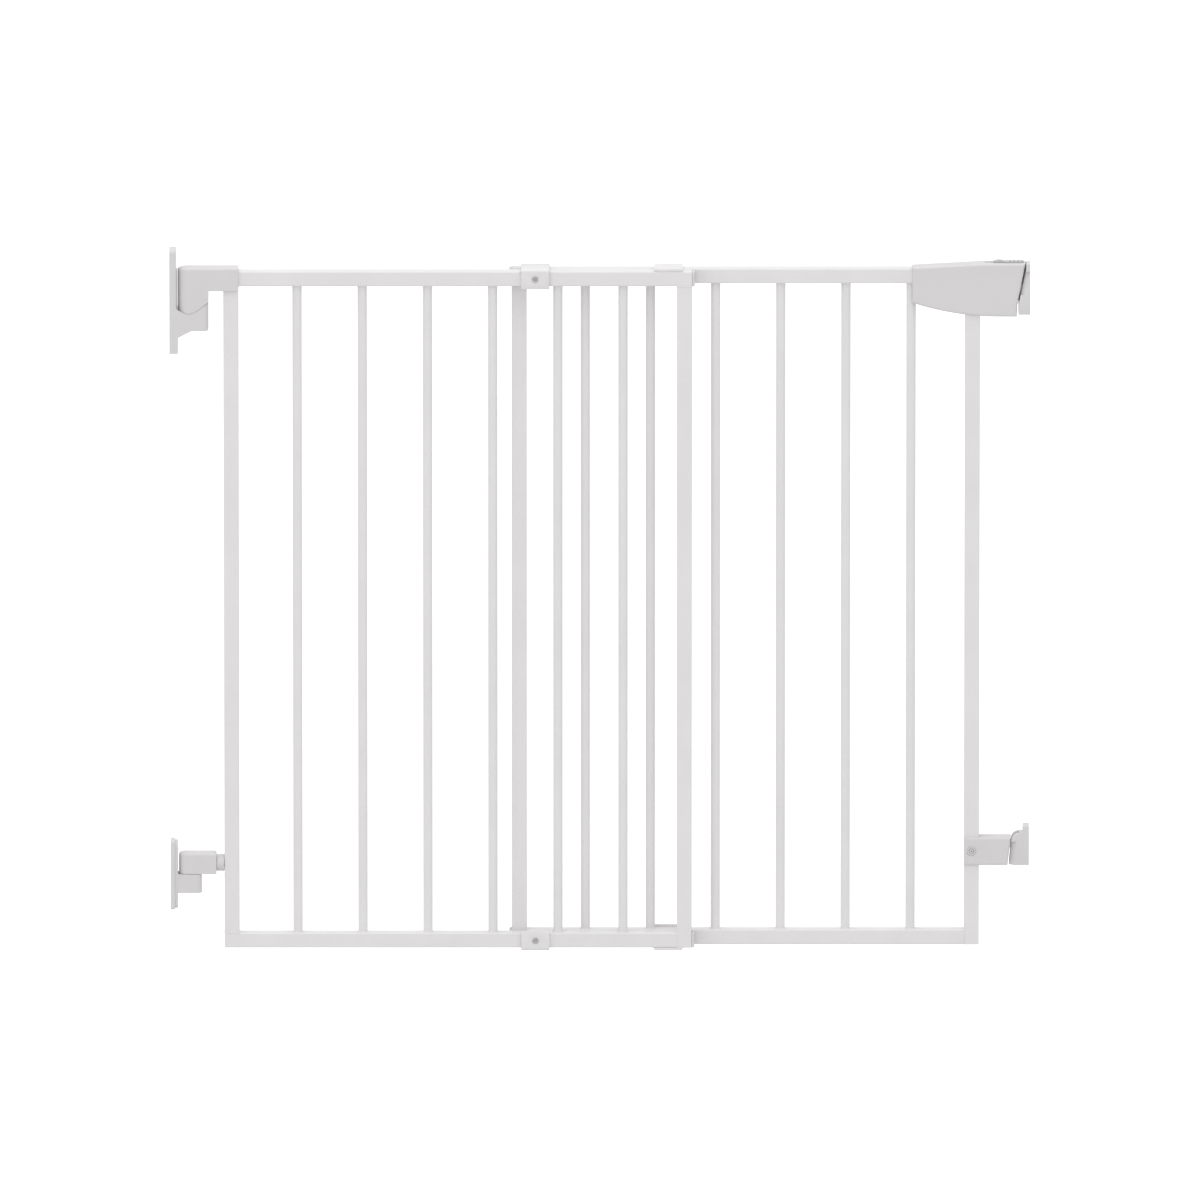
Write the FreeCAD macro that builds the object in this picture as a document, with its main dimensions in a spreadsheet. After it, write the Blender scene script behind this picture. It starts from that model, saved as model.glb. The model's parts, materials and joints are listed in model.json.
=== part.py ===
import FreeCAD, Part
import os
import re
import Sketcher

# Safety gate for a doorway or a stair head: two welded tube panels that overlap and slide past each
# other for width, hung on wall hinges at one side and latched in wall strikes at the other.
# Millimetres. +X runs from the hinge wall to the latch wall, +Z is up, and -Y is the side the gate
# opens to. The origin is the centre of the lower hinge plate's wall face, on the hinge panel's plane.

SIZES = {
    # welded panels
    "tube": 16, "tube_wall": 1.2, "tube_corner": 1.5, "bar_width": 10, "bar_wall": 1,
    "bar_pitch": 69, "bar_count": 6, "first_gap": 70, "last_gap": 65, "panel_tall": 730,
    "rail_underside": -79, "panel_gap": 1.5, "extension": 305, "hinge_reach": 57, "latch_room": 53,
    "cap_thick": 2.8, "cap_spigot": 9, "cap_fit": 0.15, "cap_round": 1,
    # clearances and moulded walls
    "shell_wall": 3, "sleeve_gap": 0.1, "run_gap": 0.05, "cone_gap": 0.3, "slide_gap": 0.2,
    "edge_round": 2.5, "small_round": 1,
    # hinges
    "bearing_gap": 0.5, "pin": 8, "pin_bevel": 0.8, "upper_plate": 7, "bearing_rib": 1.5,
    "upper_plate_rise": 24.5, "upper_plate_drop": 88, "plate_round": 5, "cone_start": 11,
    "cone_level": 45, "cone_span": 14, "cup_low": 63.6, "cup_round": 6, "block_reach": 21.2,
    "gusset": 1.8, "gusset_run": 16, "gusset_drop": 7.4, "arm_top": 4, "sleeve_drop": 20.6,
    "pin_up": 33, "wall_hole": 5, "hole_inset": 9.5, "screw_sink": 1.5, "head_floor": 0.6,
    "arm_screw": 4, "arm_screw_head": 7, "arm_screw_grip": 9, "lower_plate": 3.1,
    "lower_backing": 4.5, "lower_plate_tall": 72, "lower_backing_tall": 74.6, "plate_step": 0.8,
    "lower_hole_half": 29.5, "knuckle_low": 19.4, "knuckle_top": 0.8, "knuckle_half": 13,
    "eye_gap": 0.4, "eye_top": 23.5, "eye_half": 10, "eye_left": 11.2, "eye_reach": 28.6,
    "eye_round": 8, "lower_pin_up": 17, "spindle": 10, "spindle_level": 12, "spindle_start": 16,
    "spindle_in_post": 13, "nut": 18,
    # clamps
    "clamp_wide": 30, "clamp_plate": 2.8, "clamp_leg": 2.5, "clamp_gap": 0.3, "clamp_drop": 18.5,
    "clamp_inset": 10, "bend_round": 3, "set_screw": 6, "set_screw_proud": 1, "hex_key": 3,
    "hex_deep": 2,
    # latch
    "house_left": 72, "house_left_top": 1.6, "house_left_low": 36.5, "house_top": 5.7,
    "house_low": 51.4, "house_flat": 24, "house_end_low": 38.8, "house_end_step": 39.3,
    "house_step": 38.5, "house_end_top": 47.8, "belly": 296, "chamber_left": 4, "chamber_right": 34,
    "chamber_low": 32, "chamber_top": 1.5, "bolt_low": 26.5, "bolt_tall": 9, "bolt_half": 4,
    "bolt_tail": 18, "bolt_nose": 49.5, "bolt_bevel": 4, "stem_start": 24, "stem_long": 6,
    "stem_half": 2, "slot_start": 4.6, "slot_end": 32, "slide_start": 14, "slide_long": 32,
    "slide_half": 5.5, "slide_thick": 0.9, "bump_long": 9, "bump_tall": 1.2, "rib_tall": 0.8,
    "rib_wide": 1.4, "rib_pitch": 4.2, "rib_count": 4, "rib_start": 17, "spring_wire": 0.8,
    "spring_turns": 5, "house_screw": 3, "house_head": 6, "house_head_deep": 2, "head_play": 0.4,
    "screw_play": 0.5, "house_screw_end": 8, "catch_bracket_low": 86.2, "catch_bracket_top": 116.4,
    "catch_bracket_end": 30.3, "catch_bracket_lean": 3.7, "cross_screw": 6, "cross_head": 10,
    "cross_head_deep": 2, "cross_level": 101.7, "catch_low": 104.5, "catch_tall": 10,
    "catch_half": 4, "catch_start": 18, "catch_nose": 36.5,
    # strikes on the latch wall
    "strike_low": 49, "strike_top": 5, "strike_thick": 12.3, "strike_thin": 4.2,
    "strike_step": 38.5, "pocket_low": 28, "pocket_top": 3, "pocket_wall": 2.5, "pocket_front": 4.3,
    "pocket_rear": 6.5, "ramp_wide": 5.5, "ramp_end": 6.3, "ramp_over": 2, "keep_low": 86.6,
    "keep_top": 128.3, "keep_plate": 6.7, "keep_boss": 21, "keep_boss_shoulder": 18.7,
    "keep_shoulder": 112, "keep_boss_flat": 11.5, "keep_boss_top": 120.5, "keep_round": 8.4,
    "keep_pocket": 103, "keep_pocket_end": 10, "strike_hole": 4, "strike_hole_rise": 8,
    "strike_hole_half": 4, "strike_hole_start": 12,
}

# Sizes that follow from the driving ones
PANEL_WIDE = "(tube + first_gap + (bar_count - 1) * bar_pitch + last_gap)"
PANEL_PITCH = "(tube + panel_gap)"
TOP = "(rail_underside + panel_tall)"
LATCH_FACE = f"(hinge_reach + extension + {PANEL_WIDE})"
DOORWAY = f"({LATCH_FACE} + latch_room)"
MOULD_HALF = "(tube / 2 + shell_wall)"
SLEEVE_HALF = "(tube / 2 + sleeve_gap)"
PIN_HOLE = "(pin / 2 + run_gap)"
TOUCH = 1e-4
HOUSE_SCREWS = (("-60", "-25"), ("-30", "-33"), ("20", "-42"))

# The hinge axis stands clear of the wall plate by the arm's own half width
TIED = {"axis_out": "=upper_plate + bearing_rib + bearing_gap + tube / 2 + shell_wall"}

doc = FreeCAD.newDocument("safety_gate")
sheet = doc.addObject("Spreadsheet::Sheet", "Size")
for row, (alias, value) in enumerate({**SIZES, **TIED}.items(), start=1):
    sheet.set(f"A{row}", alias)
    sheet.setAlias(f"B{row}", alias)
    sheet.set(f"B{row}", str(value))
doc.recompute()
pieces = []


def formula(text):
    """The text as an expression in which each size's name points at its cell."""
    return re.sub(r"[a-z_]\w*", lambda word: "Size." + word.group(), text)


def amount(text):
    """The value of a formula, in millimetres."""
    return float(sheet.evalExpression(formula(text)))


def body(label, x="0", y="0", z="0"):
    """A new sub-part whose own origin stands at x, y, z."""
    part = doc.addObject("PartDesign::Body", label)
    part.Label = label
    for axis, text in (("x", x), ("y", y), ("z", z)):
        part.setExpression("Placement.Base." + axis, formula(text))
    pieces.append(part)
    return part


def sketch_on(part, plane, offset="0"):
    """An empty sketch on one of the body's own planes; XY looks +Z, XZ looks -Y and YZ looks +X."""
    sketch = part.newObject("Sketcher::SketchObject", f"{part.Name}_{plane}")
    support = [item for item in part.Origin.OriginFeatures if item.Role == plane + "_Plane"]
    sketch.AttachmentSupport = [(support[0], "")]
    sketch.MapMode = "FlatFace"
    sketch.setExpression("AttachmentOffset.Base.z", formula(offset))
    return sketch


def hold(sketch, kind, geometry, point, text):
    """One bound dimension from the sketch's origin to a point of its geometry."""
    value = amount(text)
    index = sketch.addConstraint(Sketcher.Constraint(kind, -1, 1, geometry, point, value))
    sketch.setExpression(f"Constraints[{index}]", formula(text))


def polygon(sketch, corners):
    """A closed outline; a corner with a third value starts an arc of that radius, bulging right."""
    points = [FreeCAD.Vector(amount(item[0]), amount(item[1]), 0) for item in corners]
    starts, ends = [], []
    for index, corner in enumerate(corners):
        here, there = points[index], points[(index + 1) % len(points)]
        if len(corner) == 2:
            side = sketch.addGeometry(Part.LineSegment(here, there), False)
            starts.append((side, 1))
            ends.append((side, 2))
            continue
        radius = amount(corner[2])
        chord = there - here
        outward = FreeCAD.Vector(chord.y, -chord.x, 0).normalize()
        rise = radius - (radius ** 2 - (chord.Length / 2) ** 2) ** 0.5
        middle = (here + there) * 0.5 + outward * rise
        side = sketch.addGeometry(Part.Arc(here, middle, there), False)
        index = sketch.addConstraint(Sketcher.Constraint("Radius", side, radius))
        sketch.setExpression(f"Constraints[{index}]", formula(corner[2]))
        starts.append((side, 1))
        ends.append((side, 2))
    for index, (side, point) in enumerate(ends):
        after, first = starts[(index + 1) % len(starts)]
        sketch.addConstraint(Sketcher.Constraint("Coincident", side, point, after, first))
    for (side, point), corner in zip(starts, corners):
        hold(sketch, "DistanceX", side, point, corner[0])
        hold(sketch, "DistanceY", side, point, corner[1])


def rectangle(sketch, left, low, right, top):
    polygon(sketch, ((left, low), (right, low), (right, top), (left, top)))


def circle(sketch, across, up, radius):
    ring = sketch.addGeometry(Part.Circle(FreeCAD.Vector(amount(across), amount(up), 0),
                                          FreeCAD.Vector(0, 0, 1), amount(radius)), False)
    hold(sketch, "DistanceX", ring, 3, across)
    hold(sketch, "DistanceY", ring, 3, up)
    index = sketch.addConstraint(Sketcher.Constraint("Radius", ring, amount(radius)))
    sketch.setExpression(f"Constraints[{index}]", formula(radius))


def pad(part, sketch, length, symmetric=False, reverse=False):
    """Adds the outline's solid along the sketch's own direction, or both ways, or backwards."""
    feature = part.newObject("PartDesign::Pad", part.Name + "_pad")
    feature.Profile = sketch
    feature.setExpression("Length", formula(length))
    feature.SideType = "Symmetric" if symmetric else "One side"
    feature.Reversed = reverse
    doc.recompute()
    return feature


def cut(part, sketch, length, symmetric=False, forward=True, lean=None):
    """Takes the outline's solid away along the sketch's direction, and makes sure that it cut."""
    before = part.Shape.Volume
    feature = part.newObject("PartDesign::Pocket", part.Name + "_pocket")
    feature.Profile = sketch
    feature.setExpression("Length", formula(length))
    feature.SideType = "Symmetric" if symmetric else "One side"
    feature.Reversed = forward
    if lean is not None:
        feature.UseCustomVector = True
        feature.Direction = lean
        feature.Reversed = False
    doc.recompute()
    if not part.Shape.Volume < before - 1e-3:
        raise ValueError(f"{part.Label}: a pocket takes nothing away")
    return feature


def turn_away(part, sketch):
    """Takes away the outline turned once round the body's upright axis."""
    before = part.Shape.Volume
    feature = part.newObject("PartDesign::Groove", part.Name + "_groove")
    feature.Profile = sketch
    feature.ReferenceAxis = (sketch, ["V_Axis"])
    feature.Angle = 360
    doc.recompute()
    if not part.Shape.Volume < before - 1e-3:
        raise ValueError(f"{part.Label}: a groove takes nothing away")
    return feature


def dress(part, kind, size, wanted):
    """A fillet or chamfer on the tip's edges that the test picks."""
    doc.recompute()
    base = part.Tip
    names = [f"Edge{number}" for number, edge in enumerate(base.Shape.Edges, start=1) if wanted(edge)]
    if not names:
        raise ValueError(f"{part.Label}: no edge to {kind.lower()}")
    feature = part.newObject("PartDesign::" + kind, part.Name + "_" + kind.lower())
    feature.Base = (base, names)
    feature.setExpression("Radius" if kind == "Fillet" else "Size", formula(size))
    doc.recompute()
    return feature


def near(value, text):
    """True for a value that is the formula's, within the touching distance."""
    return abs(value - amount(text)) < TOUCH


def along(edge, axis):
    """True for a straight edge that runs along one axis of the body."""
    if not isinstance(edge.Curve, (Part.Line, Part.LineSegment)):
        return False
    run = edge.Vertexes[-1].Point - edge.Vertexes[0].Point
    return abs(getattr(run.normalize(), axis)) > 0.9999


def full_circle(edge):
    """True for a whole circle, as a hole's rim is."""
    return isinstance(edge.Curve, Part.Circle) and len(edge.Vertexes) == 1


def in_plane(edge, axis, text):
    """True for an edge that lies wholly in the plane across that axis at the formula's value."""
    box = edge.BoundBox
    low, high = getattr(box, axis.upper() + "Min"), getattr(box, axis.upper() + "Max")
    return near(low, text) and near(high, text)


# ---------------------------------------------------------------- welded panels

PLANE_ACROSS = {"x": "YZ", "y": "XZ", "z": "XY"}


def square_tube(label, axis, length, x, y, z):
    """A hollow square tube along the axis, its centre line starting at x, y, z."""
    part = body(label, x, y, z)
    sketch = sketch_on(part, PLANE_ACROSS[axis])
    rectangle(sketch, "-tube / 2", "-tube / 2", "tube / 2", "tube / 2")
    pad(part, sketch, length)
    dress(part, "Fillet", "tube_corner", lambda edge: along(edge, axis))
    bore = sketch_on(part, PLANE_ACROSS[axis])
    rectangle(bore, "tube_wall - tube / 2", "tube_wall - tube / 2",
              "tube / 2 - tube_wall", "tube / 2 - tube_wall")
    cut(part, bore, length)
    return part


def panel(name, hinge_post, latch_post, x, y):
    """One welded panel, its outer corner at x on the plane y; each rail butts one of the posts."""
    middle = f"{x} + tube / 2"
    low = "rail_underside + tube / 2"
    square_tube(name + "_bottom_rail", "x", f"{PANEL_WIDE} - tube", x, y, low)
    square_tube(name + "_top_rail", "x", f"{PANEL_WIDE} - tube", f"{x} + tube", y, f"{TOP} - tube / 2")
    posts = (square_tube(f"{name}_{hinge_post}", "z", "panel_tall - tube", middle, y,
                         "rail_underside + tube"),
             square_tube(f"{name}_{latch_post}", "z", "panel_tall - tube",
                         f"{x} + {PANEL_WIDE} - tube / 2", y, "rail_underside"))
    for number in range(int(amount("bar_count"))):
        bar = body(f"{name}_bar_{number + 1}", f"{middle} + first_gap + {number} * bar_pitch", y,
                   "rail_underside + tube")
        sketch = sketch_on(bar, "XY")
        circle(sketch, "0", "0", "bar_width / 2")
        circle(sketch, "0", "0", "bar_width / 2 - bar_wall")
        pad(bar, sketch, "panel_tall - 2 * tube")
    return posts


def end_cap(label, x, y, z, side, spigot=False):
    """A moulded cap over a rail's end, with a spigot where the tube is open there.

    side is + where the tube lies on the cap's -X side.
    """
    part = body(label, x, y, z)
    flange = sketch_on(part, "YZ")
    rectangle(flange, "-tube / 2", "-tube / 2", "tube / 2", "tube / 2")
    pad(part, flange, "cap_thick", reverse=side == "-")
    dress(part, "Fillet", "cap_round", lambda edge: in_plane(edge, "x", side + "cap_thick")
          or along(edge, "x"))
    if spigot:
        inside_tube(part, "YZ", reverse=side == "+")


def inside_tube(part, plane, reverse):
    """Adds the square that is pressed into a tube's end."""
    spigot = sketch_on(part, plane)
    half = "tube / 2 - tube_wall - cap_fit"
    rectangle(spigot, f"-({half})", f"-({half})", half, half)
    pad(part, spigot, "cap_spigot", reverse=reverse)


def plug(label, plane, x, y, z, reverse=False):
    """A moulded plug pressed flush into a tube's open end."""
    inside_tube(body(label, x, y, z), plane, reverse)


hinge_post = panel("hinge_panel", "hinge_post", "end_post", "hinge_reach", "0")[0]
latch_post = panel("latch_panel", "end_post", "latch_post", "(hinge_reach + extension)", PANEL_PITCH)[1]
HINGE_END = f"(hinge_reach + {PANEL_WIDE})"
LATCH_START = "(hinge_reach + extension)"
RAIL_LOW = "(rail_underside + tube / 2)"
RAIL_HIGH = f"({TOP} - tube / 2)"
end_cap("hinge_panel_top_cap", HINGE_END, "0", RAIL_HIGH, "+", spigot=True)
end_cap("hinge_panel_bottom_cap", HINGE_END, "0", RAIL_LOW, "+")
end_cap("latch_panel_top_cap", LATCH_START, PANEL_PITCH, RAIL_HIGH, "-")
end_cap("latch_panel_bottom_cap", LATCH_START, PANEL_PITCH, RAIL_LOW, "-", spigot=True)
plug("hinge_panel_side_plug", "YZ", "hinge_reach", "0", RAIL_LOW)
plug("hinge_panel_foot_plug", "XY", f"{HINGE_END} - tube / 2", "0", "rail_underside")
plug("latch_panel_foot_plug", "XY", f"{LATCH_FACE} - tube / 2", PANEL_PITCH, "rail_underside")
plug("latch_panel_head_plug", "XY", f"{LATCH_START} + tube / 2", PANEL_PITCH, TOP, reverse=True)

# ---------------------------------------------------------------- hinge side


def wall_holes(part, levels, thick, plane="-axis_out"):
    """Countersunk holes for the wall screws, through a plate on the wall."""
    holes = sketch_on(part, "YZ", plane)
    for level in levels:
        circle(holes, "0", level, "wall_hole / 2")
    cut(part, holes, thick)
    dress(part, "Chamfer", "screw_sink", lambda edge: full_circle(edge)
          and near(edge.Curve.Radius, "wall_hole / 2")
          and edge.BoundBox.XMin > amount(plane) + TOUCH)


def upper_hinge_bracket():
    """Wall plate with a cup whose conical seat carries the gate's arm."""
    part = body("upper_hinge_bracket", "axis_out", "0", TOP)
    cup = sketch_on(part, "XZ")
    face = "(upper_plate - axis_out)"
    polygon(cup, ((face, "-upper_plate_drop"), (f"{face} + gusset", "-upper_plate_drop"),
                  (f"{face} + gusset", "-cup_low - gusset_drop"), (f"{face} + gusset_run", "-cup_low"),
                  ("block_reach", "-cup_low"), ("block_reach", "cone_span - cone_level"),
                  (face, "cone_span - cone_level")))
    pad(part, cup, f"2 * {MOULD_HALF}", symmetric=True)
    dress(part, "Fillet", "cup_round",
          lambda edge: along(edge, "z") and in_plane(edge, "x", "block_reach"))
    dress(part, "Fillet", "small_round", lambda edge: not along(edge, "x")
          and in_plane(edge, "z", "-cup_low")
          and edge.BoundBox.XMax > amount("block_reach - cup_round") - TOUCH)
    seat = sketch_on(part, "XZ")
    level = "(-cone_level - cone_gap)"
    above = f"{level} + 2 * cone_span"
    polygon(seat, (("0", level), ("cone_start", level), ("cone_start + 2 * cone_span", above),
                   ("0", above)))
    turn_away(part, seat)
    plate = sketch_on(part, "YZ", "-axis_out")
    rectangle(plate, f"-{MOULD_HALF}", "-upper_plate_drop", MOULD_HALF, "upper_plate_rise")
    pad(part, plate, "upper_plate")
    dress(part, "Fillet", "plate_round",
          lambda edge: along(edge, "x") and in_plane(edge, "z", "upper_plate_rise"))
    rib = sketch_on(part, "YZ", face)
    rectangle(rib, "-cup_round", "-cone_level", "cup_round", "arm_top - edge_round")
    pad(part, rib, "bearing_rib")
    bore = sketch_on(part, "XY", "-cup_low")
    circle(bore, "0", "0", PIN_HOLE)
    cut(part, bore, "cup_low - cone_level")
    wall_holes(part, ("upper_plate_rise - hole_inset", "hole_inset - upper_plate_drop"),
               "upper_plate + gusset")


def upper_hinge_arm():
    """Arm sleeved over the hinge post's head, with the barrel that turns on the upper pin."""
    part = body("upper_hinge_arm", "axis_out", "0", TOP)
    end = "(hinge_reach + tube - axis_out)"
    side = sketch_on(part, "XZ")
    polygon(side, (("0", "-cone_level"), ("block_reach", "-cone_level"), ("block_reach", "-sleeve_drop"),
                   (end, "-sleeve_drop"), (end, "arm_top"), ("0", "arm_top")))
    pad(part, side, f"2 * {MOULD_HALF}", symmetric=True)
    barrel = sketch_on(part, "XY", "-cone_level")
    circle(barrel, "0", "0", MOULD_HALF)
    pad(part, barrel, "arm_top + cone_level")
    dress(part, "Fillet", "edge_round", lambda edge: in_plane(edge, "z", "arm_top")
          and edge.BoundBox.XMin < amount(end) - TOUCH)
    dress(part, "Fillet", "small_round", lambda edge: in_plane(edge, "x", end))
    seat = sketch_on(part, "XZ")
    polygon(seat, (("cone_start", "-cone_level"), ("cone_start + cone_span", "cone_span - cone_level"),
                   ("cone_start + cone_span", "-cone_level - 1"), ("cone_start", "-cone_level - 1")))
    turn_away(part, seat)
    sleeve = sketch_on(part, "XZ")
    rectangle(sleeve, "hinge_reach - axis_out - sleeve_gap", "-sleeve_drop - 1", f"{end} + 1", "sleeve_gap")
    cut(part, sleeve, f"2 * {SLEEVE_HALF}", symmetric=True)
    bore = sketch_on(part, "XY", "-cone_level - 1")
    circle(bore, "0", "0", PIN_HOLE)
    cut(part, bore, "pin_up + 1 + run_gap")
    drill_back(part, f"{end} - tube / 2", "-tube / 2")


def drill_back(part, x, z):
    """Hole for the arm's screw through the back wall at x, z of the body."""
    hole = sketch_on(part, "XZ")
    circle(hole, x, z, "arm_screw / 2")
    cut(part, hole, f"{MOULD_HALF} + 1", forward=False)


def pin_body(label, x, y, low, length):
    """A plain pin with its ends chamfered."""
    part = body(label, x, y, low)
    round_bar = sketch_on(part, "XY")
    circle(round_bar, "0", "0", "pin / 2")
    pad(part, round_bar, length)
    dress(part, "Chamfer", "pin_bevel", lambda edge: full_circle(edge))


def headed_screw(label, x, y, z, shank, head, head_thick, grip, plane="XZ", reverse=False):
    """A headed screw with a hexagon socket; its head stands on the body's own plane."""
    part = body(label, x, y, z)
    top = sketch_on(part, plane)
    circle(top, "0", "0", f"{head} / 2")
    pad(part, top, head_thick, reverse=reverse)
    stem = sketch_on(part, plane)
    circle(stem, "0", "0", f"{shank} / 2")
    pad(part, stem, grip, reverse=not reverse)
    sign = "-" if reverse else ""
    socket = sketch_on(part, plane, f"{sign}({head_thick})")
    hexagon(socket, "hex_key / 2")
    cut(part, socket, "hex_deep", forward=reverse)
    return part


def hexagon(sketch, apothem):
    """A hexagonal socket outline about the sketch's origin."""
    flat = f"({apothem})"
    corner = f"({apothem} * 1.1547)"
    polygon(sketch, ((corner, "0"), (f"{corner} / 2", flat), (f"-{corner} / 2", flat),
                     (f"-{corner}", "0"), (f"-{corner} / 2", f"-{flat}"), (f"{corner} / 2", f"-{flat}")))


def lower_hinge_bracket():
    """Backed wall plate with the knuckle that holds the lower pin."""
    part = body("lower_hinge_bracket", "axis_out", "0", "0")
    for start, tall, half, thick, corner in (
            ("-axis_out", "lower_backing_tall", MOULD_HALF, "lower_backing", "edge_round"),
            ("lower_backing - axis_out", "lower_plate_tall", f"({MOULD_HALF} - plate_step)",
             "lower_plate", "plate_round")):
        plate = sketch_on(part, "YZ", start)
        rectangle(plate, f"-{half}", f"-{tall} / 2", half, f"{tall} / 2")
        pad(part, plate, thick)
        dress(part, "Fillet", corner, lambda edge: along(edge, "x")
              and near(abs(edge.CenterOfMass.z), f"{tall} / 2"))
    knuckle = sketch_on(part, "XY", "-knuckle_low")
    rectangle(knuckle, "lower_backing + lower_plate / 2 - axis_out", "-eye_half",
              "knuckle_half", "eye_half")
    pad(part, knuckle, "knuckle_low + knuckle_top")
    dress(part, "Fillet", "cup_round",
          lambda edge: along(edge, "z") and in_plane(edge, "x", "knuckle_half"))
    bore = sketch_on(part, "XY", "-knuckle_low")
    circle(bore, "0", "0", PIN_HOLE)
    cut(part, bore, "knuckle_low + knuckle_top")
    wall_holes(part, ("lower_hole_half", "-lower_hole_half"), "lower_backing + lower_plate")


def lower_hinge_eye():
    """Moulded eye that turns on the lower pin and takes the spindle from the hinge post."""
    part = body("lower_hinge_eye", "axis_out", "0", "0")
    low = "(knuckle_top + eye_gap)"
    outline = sketch_on(part, "XY", low)
    rectangle(outline, "-eye_left", "-eye_half", "eye_reach", "eye_half")
    pad(part, outline, f"eye_top - {low}")
    dress(part, "Fillet", "eye_round", lambda edge: along(edge, "z") and in_plane(edge, "x", "-eye_left"))
    dress(part, "Fillet", "edge_round", lambda edge: in_plane(edge, "z", "eye_top"))
    dress(part, "Fillet", "small_round", lambda edge: in_plane(edge, "x", "eye_reach"))
    bore = sketch_on(part, "XY", low)
    circle(bore, "0", "0", PIN_HOLE)
    cut(part, bore, f"lower_pin_up - {low} + run_gap")
    socket = sketch_on(part, "YZ", "spindle_start")
    circle(socket, "0", "spindle_level", "spindle / 2")
    cut(part, socket, "eye_reach - spindle_start")


def lower_spindle():
    """Threaded spindle from the eye into the hinge post, with its round levelling nut."""
    rod = body("lower_hinge_spindle", "axis_out", "0", "spindle_level")
    section = sketch_on(rod, "YZ", "spindle_start")
    circle(section, "0", "0", "spindle / 2")
    pad(rod, section, "hinge_reach + spindle_in_post - axis_out - spindle_start")
    dress(rod, "Chamfer", "pin_bevel", lambda edge: full_circle(edge)
          and edge.BoundBox.XMin > amount("spindle_start") + 1)
    nut = body("lower_hinge_nut", "axis_out", "0", "spindle_level")
    ring = sketch_on(nut, "YZ", "eye_reach + slide_gap")
    circle(ring, "0", "0", "nut / 2")
    circle(ring, "0", "0", "spindle / 2 + run_gap")
    pad(nut, ring, "hinge_reach - axis_out - eye_reach - 2 * slide_gap")
    dress(nut, "Chamfer", "pin_bevel", lambda edge: full_circle(edge)
          and near(edge.Curve.Radius, "nut / 2"))
    hole = sketch_on(hinge_post, "YZ", "-tube / 2")
    circle(hole, "0", "spindle_level - rail_underside - tube", "spindle / 2")
    cut(hinge_post, hole, "tube / 2")


upper_hinge_bracket()
upper_hinge_arm()
pin_body("upper_hinge_pin", "axis_out", "0", f"{TOP} - cup_low + slide_gap",
         "cup_low - slide_gap - cone_level + pin_up")
headed_screw("hinge_arm_screw", "hinge_reach + tube / 2", MOULD_HALF, RAIL_HIGH, "arm_screw",
             "arm_screw_head", "hex_deep + head_floor", "arm_screw_grip", reverse=True)
drill_post = sketch_on(hinge_post, "XZ")
circle(drill_post, "0", "panel_tall - 3 * tube / 2", "arm_screw / 2")
cut(hinge_post, drill_post, "tube / 2", forward=False)
lower_hinge_bracket()
lower_hinge_eye()
pin_body("lower_hinge_pin", "axis_out", "0", "slide_gap - knuckle_low",
         "knuckle_low - slide_gap + lower_pin_up")
lower_spindle()

# ---------------------------------------------------------------- width clamps


def clamp(label, x, y, z, toward, away):
    """Bent strap welded on its own rail, with a leg over the other panel's rail.

    toward is the sign of Y from its own rail to the other, away the sign of Z off the rail.
    """
    part = body(label, x, y, z)
    reach = f"({PANEL_PITCH} + tube / 2 + clamp_gap + clamp_leg)"
    corners = (("-tube / 2", "0"), ("-tube / 2", "clamp_plate"), (reach, "clamp_plate"),
               (reach, "-clamp_drop"), (f"{reach} - clamp_leg", "-clamp_drop"),
               (f"{reach} - clamp_leg", "0"))
    section = sketch_on(part, "YZ")
    polygon(section, [(f"{toward}({across})", f"{away}({up})") for across, up in corners])
    pad(part, section, "clamp_wide")
    dress(part, "Fillet", "bend_round", lambda edge: along(edge, "x")
          and near(edge.CenterOfMass.y, f"{toward}{reach}")
          and near(edge.CenterOfMass.z, f"{away}clamp_plate"))
    thread = sketch_on(part, "XZ")
    circle(thread, "clamp_wide / 2", f"{away}(-tube / 2)", "set_screw / 2 + run_gap")
    cut(part, thread, f"{reach} + 1", forward=toward == "-")
    return part


def set_screw(label, x, y, z, toward, away):
    """Socket set screw in the clamp's leg, its point on the other panel's rail."""
    part = body(label, x, y, z)
    face = f"({PANEL_PITCH} + tube / 2 + run_gap)"
    sign = "" if toward == "-" else "-"
    long = "(clamp_gap + clamp_leg + set_screw_proud - run_gap)"
    shank = sketch_on(part, "XZ", f"{sign}{face}")
    circle(shank, "clamp_wide / 2", f"{away}(-tube / 2)", "set_screw / 2")
    pad(part, shank, long, reverse=toward == "+")
    socket = sketch_on(part, "XZ", f"{sign}({face} + {long})")
    circle(socket, "clamp_wide / 2", f"{away}(-tube / 2)", "hex_key / 2")
    cut(part, socket, "hex_deep", forward=toward == "+")
    return part


CLAMPS = (
    ("rear_clamp_upper", f"{LATCH_START} + clamp_inset", PANEL_PITCH, TOP, "-", "+"),
    ("rear_clamp_lower", f"{LATCH_START} + clamp_inset", PANEL_PITCH, "rail_underside", "-", "-"),
    ("front_clamp_upper", f"{HINGE_END} - clamp_inset - clamp_wide", "0", TOP, "+", "+"),
    ("front_clamp_lower", f"{HINGE_END} - clamp_inset - clamp_wide", "0", "rail_underside", "+", "-"),
)
for name, *where in CLAMPS:
    clamp(name, *where)
    set_screw(name + "_screw", *where)

# ---------------------------------------------------------------- latch side


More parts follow.
